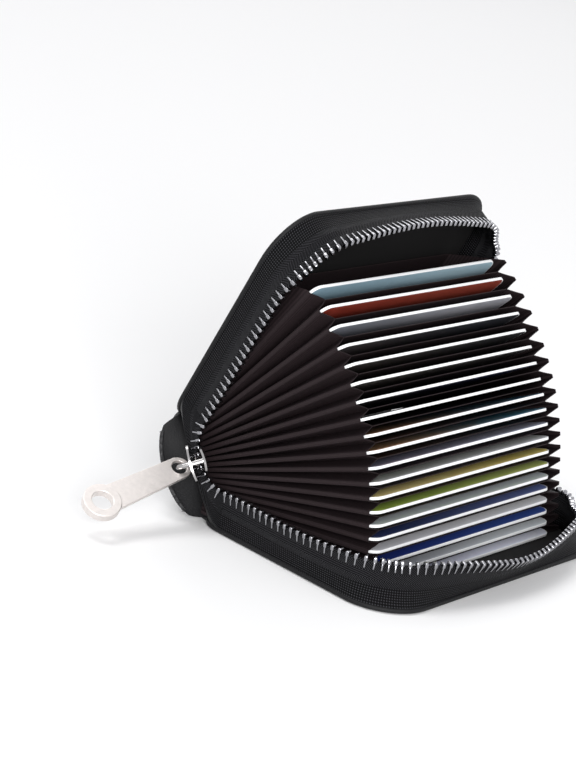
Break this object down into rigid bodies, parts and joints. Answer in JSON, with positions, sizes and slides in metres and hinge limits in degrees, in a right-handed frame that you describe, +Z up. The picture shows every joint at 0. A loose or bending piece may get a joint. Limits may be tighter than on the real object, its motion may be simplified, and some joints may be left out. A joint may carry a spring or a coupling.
{
  "type": "card wallet",
  "caption": "Zip-around accordion card wallet, open on its back cover, with leather covers that fold on a spine, pleated card pockets, two zip rows, and a slider with a pull tab.",
  "frame": {"origin": "centre of the back cover's outer face, which rests on the table", "axes": "+Z up out of the back cover, +X from the spine to the opening, +Y along the spine, away from the end with the slider"},
  "size_m": [0.0878, 0.1374, 0.09],
  "materials": {
    "leather": "pebbled, semi-gloss black",
    "board": "plain grey stiffener board",
    "lining": "matt black woven",
    "pocket_fabric": "fine dark wine-brown satin",
    "zip_tape": "black woven tape, herringbone",
    "zip_teeth": "black nickel, glossy",
    "gunmetal": "gunmetal plating, glossy",
    "nickel": "brushed pale nickel",
    "card_blue_grey": "smooth card",
    "card_red": "smooth card",
    "card_grey": "smooth card",
    "card_dark": "smooth card",
    "card_orange": "smooth card",
    "card_lilac": "smooth card",
    "card_white": "smooth card",
    "card_gold": "smooth card",
    "card_green": "smooth card",
    "card_navy": "smooth card"
  },
  "bodies": {
    "back_cover": {"back_leather": "leather", "back_board": "board", "back_lining": "lining", "back_end_leaf": "pocket_fabric", "back_zip_tape": "zip_tape", "back_zip_teeth": "zip_teeth", "near_gusset": "pocket_fabric", "far_gusset": "pocket_fabric", "zip_end_panel": "zip_tape", "card_20": "card_lilac"},
    "spine": {"spine_leather": "leather"},
    "front_cover": {"front_leather": "leather", "front_board": "board", "front_lining": "lining", "front_zip_tape": "zip_tape", "front_zip_teeth": "zip_teeth"},
    "front_leaf": {"front_end_leaf": "pocket_fabric"},
    "zip_start": {"zip_bottom_stop": "gunmetal"},
    "zip_tail": {"zip_tape_tail": "zip_tape"},
    "slider": {"slider_body": "gunmetal", "slider_bail": "gunmetal"},
    "pull_tab": {"pull_tab": "nickel"},
    "leaf_01": {"divider_01": "pocket_fabric"},
    "leaf_02": {"divider_02": "pocket_fabric"},
    "leaf_03": {"divider_03": "pocket_fabric"},
    "leaf_04": {"divider_04": "pocket_fabric"},
    "leaf_05": {"divider_05": "pocket_fabric"},
    "leaf_06": {"divider_06": "pocket_fabric"},
    "leaf_07": {"divider_07": "pocket_fabric"},
    "leaf_08": {"divider_08": "pocket_fabric"},
    "leaf_09": {"divider_09": "pocket_fabric"},
    "leaf_10": {"divider_10": "pocket_fabric"},
    "leaf_11": {"divider_11": "pocket_fabric"},
    "leaf_12": {"divider_12": "pocket_fabric"},
    "leaf_13": {"divider_13": "pocket_fabric"},
    "leaf_14": {"divider_14": "pocket_fabric"},
    "leaf_15": {"divider_15": "pocket_fabric"},
    "leaf_16": {"divider_16": "pocket_fabric"},
    "leaf_17": {"divider_17": "pocket_fabric"},
    "leaf_18": {"divider_18": "pocket_fabric"},
    "leaf_19": {"divider_19": "pocket_fabric"},
    "card_01": {"card_01": "card_blue_grey"},
    "card_02": {"card_02": "card_red"},
    "card_03": {"card_03": "card_grey"},
    "card_04": {"card_04": "card_dark"},
    "card_05": {"card_05": "card_dark"},
    "card_06": {"card_06": "card_dark"},
    "card_07": {"card_07": "card_dark"},
    "card_08": {"card_08": "card_dark"},
    "card_09": {"card_09": "card_orange"},
    "card_10": {"card_10": "card_orange"},
    "card_11": {"card_11": "card_lilac"},
    "card_12": {"card_12": "card_white"},
    "card_13": {"card_13": "card_gold"},
    "card_14": {"card_14": "card_green"},
    "card_15": {"card_15": "card_grey"},
    "card_16": {"card_16": "card_navy"},
    "card_17": {"card_17": "card_white"},
    "card_18": {"card_18": "card_navy"},
    "card_19": {"card_19": "card_grey"}
  },
  "joints": [
    {"name": "spine_fold", "type": "hinge", "parent": "back_cover", "child": "spine", "pos_m": [-0.03625, 0, 0], "axis": [0, -1, 0], "range_deg": [-33.5, 11.5], "deforming": ["near_gusset", "far_gusset", "zip_end_panel"]},
    {"name": "front_fold", "type": "hinge", "parent": "spine", "child": "front_cover", "pos_m": [-0.0518, 0, 0.02349], "axis": [0, -1, 0], "range_deg": [-33.5, 11.5]},
    {"name": "front_leaf_turn", "type": "hinge", "parent": "back_cover", "child": "front_leaf", "pos_m": [-0.04049, 0, 0.01409], "axis": [0, -1, 0], "range_deg": [-67, 23]},
    {"name": "zip_start_turn", "type": "hinge", "parent": "back_cover", "child": "zip_start", "pos_m": [-0.04049, 0, 0.01409], "axis": [0, -1, 0], "range_deg": [-33.5, 11.5]},
    {"name": "leaf_01_turn", "type": "hinge", "parent": "back_cover", "child": "leaf_01", "pos_m": [-0.04049, 0, 0.01409], "axis": [0, -1, 0], "range_deg": [-53.57, 18.39]},
    {"name": "leaf_02_turn", "type": "hinge", "parent": "back_cover", "child": "leaf_02", "pos_m": [-0.04049, 0, 0.01409], "axis": [0, -1, 0], "range_deg": [-49.4, 16.96]},
    {"name": "leaf_03_turn", "type": "hinge", "parent": "back_cover", "child": "leaf_03", "pos_m": [-0.04049, 0, 0.01409], "axis": [0, -1, 0], "range_deg": [-45.38, 15.58]},
    {"name": "leaf_04_turn", "type": "hinge", "parent": "back_cover", "child": "leaf_04", "pos_m": [-0.04049, 0, 0.01409], "axis": [0, -1, 0], "range_deg": [-41.52, 14.25]},
    {"name": "leaf_05_turn", "type": "hinge", "parent": "back_cover", "child": "leaf_05", "pos_m": [-0.04049, 0, 0.01409], "axis": [0, -1, 0], "range_deg": [-37.82, 12.98]},
    {"name": "leaf_06_turn", "type": "hinge", "parent": "back_cover", "child": "leaf_06", "pos_m": [-0.04049, 0, 0.01409], "axis": [0, -1, 0], "range_deg": [-34.27, 11.77]},
    {"name": "leaf_07_turn", "type": "hinge", "parent": "back_cover", "child": "leaf_07", "pos_m": [-0.04049, 0, 0.01409], "axis": [0, -1, 0], "range_deg": [-30.88, 10.6]},
    {"name": "leaf_08_turn", "type": "hinge", "parent": "back_cover", "child": "leaf_08", "pos_m": [-0.04049, 0, 0.01409], "axis": [0, -1, 0], "range_deg": [-27.63, 9.49]},
    {"name": "leaf_09_turn", "type": "hinge", "parent": "back_cover", "child": "leaf_09", "pos_m": [-0.04049, 0, 0.01409], "axis": [0, -1, 0], "range_deg": [-24.53, 8.42]},
    {"name": "leaf_10_turn", "type": "hinge", "parent": "back_cover", "child": "leaf_10", "pos_m": [-0.04049, 0, 0.01409], "axis": [0, -1, 0], "range_deg": [-21.58, 7.41]},
    {"name": "leaf_11_turn", "type": "hinge", "parent": "back_cover", "child": "leaf_11", "pos_m": [-0.04049, 0, 0.01409], "axis": [0, -1, 0], "range_deg": [-18.77, 6.44]},
    {"name": "leaf_12_turn", "type": "hinge", "parent": "back_cover", "child": "leaf_12", "pos_m": [-0.04049, 0, 0.01409], "axis": [0, -1, 0], "range_deg": [-16.09, 5.53]},
    {"name": "leaf_13_turn", "type": "hinge", "parent": "back_cover", "child": "leaf_13", "pos_m": [-0.04049, 0, 0.01409], "axis": [0, -1, 0], "range_deg": [-13.55, 4.65]},
    {"name": "leaf_14_turn", "type": "hinge", "parent": "back_cover", "child": "leaf_14", "pos_m": [-0.04049, 0, 0.01409], "axis": [0, -1, 0], "range_deg": [-11.15, 3.83]},
    {"name": "leaf_15_turn", "type": "hinge", "parent": "back_cover", "child": "leaf_15", "pos_m": [-0.04049, 0, 0.01409], "axis": [0, -1, 0], "range_deg": [-8.87, 3.05]},
    {"name": "leaf_16_turn", "type": "hinge", "parent": "back_cover", "child": "leaf_16", "pos_m": [-0.04049, 0, 0.01409], "axis": [0, -1, 0], "range_deg": [-6.71, 2.3]},
    {"name": "leaf_17_turn", "type": "hinge", "parent": "back_cover", "child": "leaf_17", "pos_m": [-0.04049, 0, 0.01409], "axis": [0, -1, 0], "range_deg": [-4.67, 1.6]},
    {"name": "leaf_18_turn", "type": "hinge", "parent": "back_cover", "child": "leaf_18", "pos_m": [-0.04049, 0, 0.01409], "axis": [0, -1, 0], "range_deg": [-2.74, 0.94]},
    {"name": "leaf_19_turn", "type": "hinge", "parent": "back_cover", "child": "leaf_19", "pos_m": [-0.04049, 0, 0.01409], "axis": [0, -1, 0], "range_deg": [-0.9, 0.31]},
    {"name": "card_01_turn", "type": "hinge", "parent": "back_cover", "child": "card_01", "pos_m": [-0.04049, 0, 0.01409], "axis": [0, -1, 0], "range_deg": [-55.7, 19.12]},
    {"name": "card_02_turn", "type": "hinge", "parent": "back_cover", "child": "card_02", "pos_m": [-0.04049, 0, 0.01409], "axis": [0, -1, 0], "range_deg": [-51.44, 17.66]},
    {"name": "card_03_turn", "type": "hinge", "parent": "back_cover", "child": "card_03", "pos_m": [-0.04049, 0, 0.01409], "axis": [0, -1, 0], "range_deg": [-47.35, 16.25]},
    {"name": "card_04_turn", "type": "hinge", "parent": "back_cover", "child": "card_04", "pos_m": [-0.04049, 0, 0.01409], "axis": [0, -1, 0], "range_deg": [-43.41, 14.9]},
    {"name": "card_05_turn", "type": "hinge", "parent": "back_cover", "child": "card_05", "pos_m": [-0.04049, 0, 0.01409], "axis": [0, -1, 0], "range_deg": [-39.63, 13.61]},
    {"name": "card_06_turn", "type": "hinge", "parent": "back_cover", "child": "card_06", "pos_m": [-0.04049, 0, 0.01409], "axis": [0, -1, 0], "range_deg": [-36.01, 12.36]},
    {"name": "card_07_turn", "type": "hinge", "parent": "back_cover", "child": "card_07", "pos_m": [-0.04049, 0, 0.01409], "axis": [0, -1, 0], "range_deg": [-32.54, 11.17]},
    {"name": "card_08_turn", "type": "hinge", "parent": "back_cover", "child": "card_08", "pos_m": [-0.04049, 0, 0.01409], "axis": [0, -1, 0], "range_deg": [-29.22, 10.03]},
    {"name": "card_09_turn", "type": "hinge", "parent": "back_cover", "child": "card_09", "pos_m": [-0.04049, 0, 0.01409], "axis": [0, -1, 0], "range_deg": [-26.04, 8.94]},
    {"name": "card_10_turn", "type": "hinge", "parent": "back_cover", "child": "card_10", "pos_m": [-0.04049, 0, 0.01409], "axis": [0, -1, 0], "range_deg": [-23.02, 7.9]},
    {"name": "card_11_turn", "type": "hinge", "parent": "back_cover", "child": "card_11", "pos_m": [-0.04049, 0, 0.01409], "axis": [0, -1, 0], "range_deg": [-20.14, 6.91]},
    {"name": "card_12_turn", "type": "hinge", "parent": "back_cover", "child": "card_12", "pos_m": [-0.04049, 0, 0.01409], "axis": [0, -1, 0], "range_deg": [-17.39, 5.97]},
    {"name": "card_13_turn", "type": "hinge", "parent": "back_cover", "child": "card_13", "pos_m": [-0.04049, 0, 0.01409], "axis": [0, -1, 0], "range_deg": [-14.79, 5.08]},
    {"name": "card_14_turn", "type": "hinge", "parent": "back_cover", "child": "card_14", "pos_m": [-0.04049, 0, 0.01409], "axis": [0, -1, 0], "range_deg": [-12.32, 4.23]},
    {"name": "card_15_turn", "type": "hinge", "parent": "back_cover", "child": "card_15", "pos_m": [-0.04049, 0, 0.01409], "axis": [0, -1, 0], "range_deg": [-9.98, 3.43]},
    {"name": "card_16_turn", "type": "hinge", "parent": "back_cover", "child": "card_16", "pos_m": [-0.04049, 0, 0.01409], "axis": [0, -1, 0], "range_deg": [-7.76, 2.66]},
    {"name": "card_17_turn", "type": "hinge", "parent": "back_cover", "child": "card_17", "pos_m": [-0.04049, 0, 0.01409], "axis": [0, -1, 0], "range_deg": [-5.66, 1.94]},
    {"name": "card_18_turn", "type": "hinge", "parent": "back_cover", "child": "card_18", "pos_m": [-0.04049, 0, 0.01409], "axis": [0, -1, 0], "range_deg": [-3.68, 1.26]},
    {"name": "card_19_turn", "type": "hinge", "parent": "back_cover", "child": "card_19", "pos_m": [-0.04049, 0, 0.01409], "axis": [0, -1, 0], "range_deg": [-1.79, 0.62]},
    {"name": "slider_twist", "type": "hinge", "parent": "zip_start", "child": "zip_tail", "pos_m": [-0.03365, -0.0504, 0.01861], "axis": [-0.5519, 0, 0.8339], "range_deg": [-17.85, 52]},
    {"name": "slider_travel", "type": "slide", "parent": "zip_tail", "child": "slider", "axis": [0.5134, -0.788, 0.3398], "range_m": [0, 0.045]},
    {"name": "pull_tab_swing", "type": "hinge", "parent": "slider", "child": "pull_tab", "pos_m": [-0.03618, -0.05277, 0.01694], "axis": [-0.5519, 0, 0.8339], "range_deg": [-74, 53]}
  ],
  "couplings": [
    {"joint": "front_fold", "follows": "spine_fold", "ratio": 1},
    {"joint": "front_leaf_turn", "follows": "spine_fold", "ratio": 2},
    {"joint": "zip_start_turn", "follows": "spine_fold", "ratio": 1},
    {"joint": "leaf_01_turn", "follows": "spine_fold", "ratio": 1.5991},
    {"joint": "leaf_02_turn", "follows": "spine_fold", "ratio": 1.4745},
    {"joint": "leaf_03_turn", "follows": "spine_fold", "ratio": 1.3546},
    {"joint": "leaf_04_turn", "follows": "spine_fold", "ratio": 1.2394},
    {"joint": "leaf_05_turn", "follows": "spine_fold", "ratio": 1.1289},
    {"joint": "leaf_06_turn", "follows": "spine_fold", "ratio": 1.023},
    {"joint": "leaf_07_turn", "follows": "spine_fold", "ratio": 0.92162},
    {"joint": "leaf_08_turn", "follows": "spine_fold", "ratio": 0.82474},
    {"joint": "leaf_09_turn", "follows": "spine_fold", "ratio": 0.73225},
    {"joint": "leaf_10_turn", "follows": "spine_fold", "ratio": 0.64408},
    {"joint": "leaf_11_turn", "follows": "spine_fold", "ratio": 0.56014},
    {"joint": "leaf_12_turn", "follows": "spine_fold", "ratio": 0.48035},
    {"joint": "leaf_13_turn", "follows": "spine_fold", "ratio": 0.40459},
    {"joint": "leaf_14_turn", "follows": "spine_fold", "ratio": 0.33275},
    {"joint": "leaf_15_turn", "follows": "spine_fold", "ratio": 0.2647},
    {"joint": "leaf_16_turn", "follows": "spine_fold", "ratio": 0.20029},
    {"joint": "leaf_17_turn", "follows": "spine_fold", "ratio": 0.13934},
    {"joint": "leaf_18_turn", "follows": "spine_fold", "ratio": 0.081619},
    {"joint": "leaf_19_turn", "follows": "spine_fold", "ratio": 0.026764},
    {"joint": "card_01_turn", "follows": "spine_fold", "ratio": 1.6627},
    {"joint": "card_02_turn", "follows": "spine_fold", "ratio": 1.5356},
    {"joint": "card_03_turn", "follows": "spine_fold", "ratio": 1.4133},
    {"joint": "card_04_turn", "follows": "spine_fold", "ratio": 1.2958},
    {"joint": "card_05_turn", "follows": "spine_fold", "ratio": 1.183},
    {"joint": "card_06_turn", "follows": "spine_fold", "ratio": 1.0748},
    {"joint": "card_07_turn", "follows": "spine_fold", "ratio": 0.97117},
    {"joint": "card_08_turn", "follows": "spine_fold", "ratio": 0.87207},
    {"joint": "card_09_turn", "follows": "spine_fold", "ratio": 0.7774},
    {"joint": "card_10_turn", "follows": "spine_fold", "ratio": 0.6871},
    {"joint": "card_11_turn", "follows": "spine_fold", "ratio": 0.60107},
    {"joint": "card_12_turn", "follows": "spine_fold", "ratio": 0.51922},
    {"joint": "card_13_turn", "follows": "spine_fold", "ratio": 0.44147},
    {"joint": "card_14_turn", "follows": "spine_fold", "ratio": 0.3677},
    {"joint": "card_15_turn", "follows": "spine_fold", "ratio": 0.29779},
    {"joint": "card_16_turn", "follows": "spine_fold", "ratio": 0.23161},
    {"joint": "card_17_turn", "follows": "spine_fold", "ratio": 0.16898},
    {"joint": "card_18_turn", "follows": "spine_fold", "ratio": 0.10971},
    {"joint": "card_19_turn", "follows": "spine_fold", "ratio": 0.053528},
    {"joint": "slider_twist", "follows": "spine_fold", "ratio": -1.5522}
  ]
}
